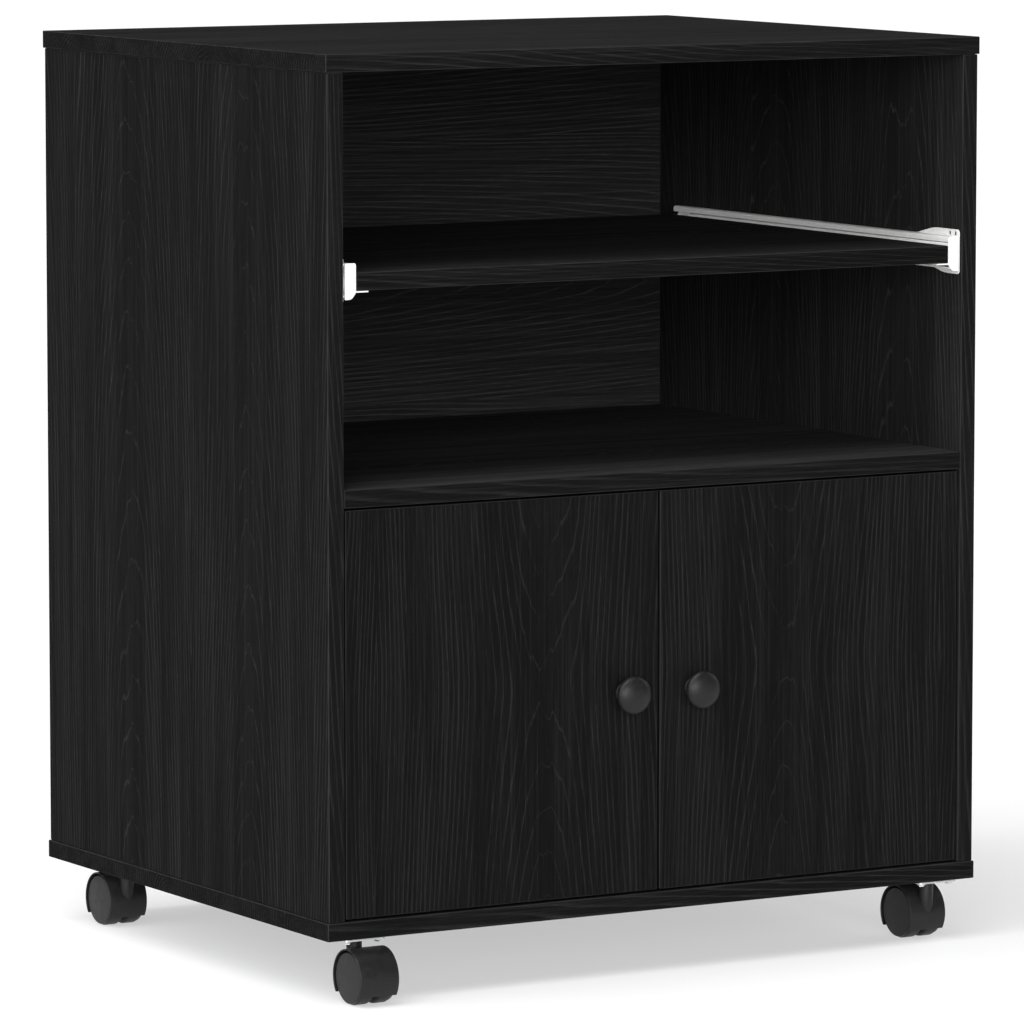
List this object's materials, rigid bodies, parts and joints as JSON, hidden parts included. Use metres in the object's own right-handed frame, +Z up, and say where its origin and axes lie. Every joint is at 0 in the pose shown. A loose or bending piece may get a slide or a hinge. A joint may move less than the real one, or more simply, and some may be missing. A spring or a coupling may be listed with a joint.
{
  "type": "mobile printer stand",
  "caption": "Black oak printer stand on swivelling twin-wheel casters, with an open bay, a pull-out shelf on roller slides, a fixed shelf and a cupboard with inset doors.",
  "frame": {"origin": "on the floor, under the centre of the whole object's box; the carcass's own middle is 11.6 mm behind it, because the front left caster's hood passes the front edge", "axes": "+X to the right seen from the front, -Y out of the front, +Z up"},
  "size_m": [0.64, 0.5332, 0.783],
  "materials": {
    "black_oak_board": "black oak foil with pressed grain, matte",
    "white_steel": "white powder coat",
    "white_nylon": "moulded",
    "nickel_steel": "nickel plated",
    "zinc_steel": "bright zinc plated",
    "caster_plastic": "fine moulded texture",
    "knob_plastic": "satin moulded",
    "catch_plastic": "moulded"
  },
  "bodies": {
    "carcass": {"top_panel": "black_oak_board", "bottom_panel": "black_oak_board", "left_side_panel": "black_oak_board", "right_side_panel": "black_oak_board", "back_panel": "black_oak_board", "fixed_shelf": "black_oak_board", "left_cabinet_rail": "white_steel", "right_cabinet_rail": "white_steel", "left_magnetic_catch": "catch_plastic", "right_magnetic_catch": "catch_plastic", "left_cabinet_rail_lower_flange": "white_steel", "left_cabinet_rail_upper_flange": "white_steel", "left_lower_hinge_arm": "nickel_steel", "left_upper_hinge_arm": "nickel_steel", "right_cabinet_rail_lower_flange": "white_steel", "right_cabinet_rail_upper_flange": "white_steel", "right_lower_hinge_arm": "nickel_steel", "right_upper_hinge_arm": "nickel_steel", "front_left_caster_plate": "zinc_steel", "front_right_caster_plate": "zinc_steel", "rear_left_caster_plate": "zinc_steel", "rear_right_caster_plate": "zinc_steel"},
    "pull_out": {"pull_out_shelf": "black_oak_board", "left_shelf_rail": "white_steel", "right_shelf_rail": "white_steel"},
    "left_front_roller": {"left_front_roller": "white_nylon"},
    "left_rear_roller": {"left_rear_roller": "white_nylon"},
    "left_door": {"left_door": "black_oak_board", "left_knob": "knob_plastic", "left_knob_screw": "zinc_steel", "left_lower_hinge_cup": "nickel_steel", "left_upper_hinge_cup": "nickel_steel", "left_strike_plate": "zinc_steel"},
    "right_front_roller": {"right_front_roller": "white_nylon"},
    "right_rear_roller": {"right_rear_roller": "white_nylon"},
    "right_door": {"right_door": "black_oak_board", "right_knob": "knob_plastic", "right_knob_screw": "zinc_steel", "right_lower_hinge_cup": "nickel_steel", "right_upper_hinge_cup": "nickel_steel", "right_strike_plate": "zinc_steel"},
    "front_left_caster": {"front_left_caster_hood": "caster_plastic", "front_left_caster_axle": "zinc_steel"},
    "front_left_caster_left_wheel": {"front_left_caster_left_wheel": "caster_plastic"},
    "front_left_caster_right_wheel": {"front_left_caster_right_wheel": "caster_plastic"},
    "front_right_caster": {"front_right_caster_hood": "caster_plastic", "front_right_caster_axle": "zinc_steel"},
    "front_right_caster_left_wheel": {"front_right_caster_left_wheel": "caster_plastic"},
    "front_right_caster_right_wheel": {"front_right_caster_right_wheel": "caster_plastic"},
    "rear_left_caster": {"rear_left_caster_hood": "caster_plastic", "rear_left_caster_axle": "zinc_steel"},
    "rear_left_caster_left_wheel": {"rear_left_caster_left_wheel": "caster_plastic"},
    "rear_left_caster_right_wheel": {"rear_left_caster_right_wheel": "caster_plastic"},
    "rear_right_caster": {"rear_right_caster_hood": "caster_plastic", "rear_right_caster_axle": "zinc_steel"},
    "rear_right_caster_left_wheel": {"rear_right_caster_left_wheel": "caster_plastic"},
    "rear_right_caster_right_wheel": {"rear_right_caster_right_wheel": "caster_plastic"}
  },
  "joints": [
    {"name": "pull_out_slide", "type": "slide", "parent": "carcass", "child": "pull_out", "axis": [0, -1, 0], "range_m": [0, 0.33]},
    {"name": "left_front_roller_spin", "type": "hinge", "parent": "carcass", "child": "left_front_roller", "pos_m": [-0.2975, -0.22961, 0.5958], "axis": [1, 0, 0], "continuous": true},
    {"name": "left_rear_roller_spin", "type": "hinge", "parent": "pull_out", "child": "left_rear_roller", "pos_m": [-0.2975, 0.19499, 0.59825], "axis": [1, 0, 0], "continuous": true},
    {"name": "left_door_hinge", "type": "hinge", "parent": "carcass", "child": "left_door", "pos_m": [-0.3015, -0.24091, 0.24], "axis": [0, 0, -1], "range_deg": [0, 100]},
    {"name": "right_front_roller_spin", "type": "hinge", "parent": "carcass", "child": "right_front_roller", "pos_m": [0.2975, -0.22961, 0.5958], "axis": [1, 0, 0], "continuous": true},
    {"name": "right_rear_roller_spin", "type": "hinge", "parent": "pull_out", "child": "right_rear_roller", "pos_m": [0.2975, 0.19499, 0.59825], "axis": [1, 0, 0], "continuous": true},
    {"name": "right_door_hinge", "type": "hinge", "parent": "carcass", "child": "right_door", "pos_m": [0.3015, -0.24091, 0.24], "axis": [0, 0, 1], "range_deg": [0, 100]},
    {"name": "front_left_caster_swivel", "type": "hinge", "parent": "carcass", "child": "front_left_caster", "pos_m": [-0.284, -0.22241, 0.05], "axis": [0, 0, 1], "continuous": true},
    {"name": "front_left_caster_left_wheel_roll", "type": "hinge", "parent": "front_left_caster", "child": "front_left_caster_left_wheel", "pos_m": [-0.2941, -0.24241, 0.02239], "axis": [1, 0, 0], "continuous": true},
    {"name": "front_left_caster_right_wheel_roll", "type": "hinge", "parent": "front_left_caster", "child": "front_left_caster_right_wheel", "pos_m": [-0.2739, -0.24241, 0.02239], "axis": [1, 0, 0], "continuous": true},
    {"name": "front_right_caster_swivel", "type": "hinge", "parent": "carcass", "child": "front_right_caster", "pos_m": [0.284, -0.22241, 0.05], "axis": [0, 0, 1], "continuous": true},
    {"name": "front_right_caster_left_wheel_roll", "type": "hinge", "parent": "front_right_caster", "child": "front_right_caster_left_wheel", "pos_m": [0.2739, -0.20241, 0.02239], "axis": [1, 0, 0], "continuous": true},
    {"name": "front_right_caster_right_wheel_roll", "type": "hinge", "parent": "front_right_caster", "child": "front_right_caster_right_wheel", "pos_m": [0.2941, -0.20241, 0.02239], "axis": [1, 0, 0], "continuous": true},
    {"name": "rear_left_caster_swivel", "type": "hinge", "parent": "carcass", "child": "rear_left_caster", "pos_m": [-0.284, 0.18659, 0.05], "axis": [0, 0, 1], "continuous": true},
    {"name": "rear_left_caster_left_wheel_roll", "type": "hinge", "parent": "rear_left_caster", "child": "rear_left_caster_left_wheel", "pos_m": [-0.2941, 0.20659, 0.02239], "axis": [1, 0, 0], "continuous": true},
    {"name": "rear_left_caster_right_wheel_roll", "type": "hinge", "parent": "rear_left_caster", "child": "rear_left_caster_right_wheel", "pos_m": [-0.2739, 0.20659, 0.02239], "axis": [1, 0, 0], "continuous": true},
    {"name": "rear_right_caster_swivel", "type": "hinge", "parent": "carcass", "child": "rear_right_caster", "pos_m": [0.284, 0.18659, 0.05], "axis": [0, 0, 1], "continuous": true},
    {"name": "rear_right_caster_left_wheel_roll", "type": "hinge", "parent": "rear_right_caster", "child": "rear_right_caster_left_wheel", "pos_m": [0.2739, 0.20659, 0.02239], "axis": [1, 0, 0], "continuous": true},
    {"name": "rear_right_caster_right_wheel_roll", "type": "hinge", "parent": "rear_right_caster", "child": "rear_right_caster_right_wheel", "pos_m": [0.2941, 0.20659, 0.02239], "axis": [1, 0, 0], "continuous": true}
  ],
  "couplings": [
    {"joint": "left_front_roller_spin", "follows": "pull_out_slide", "rad_per_m": 108.7},
    {"joint": "left_rear_roller_spin", "follows": "pull_out_slide", "rad_per_m": 81.967},
    {"joint": "right_front_roller_spin", "follows": "pull_out_slide", "rad_per_m": 108.7},
    {"joint": "right_rear_roller_spin", "follows": "pull_out_slide", "rad_per_m": 81.967}
  ]
}
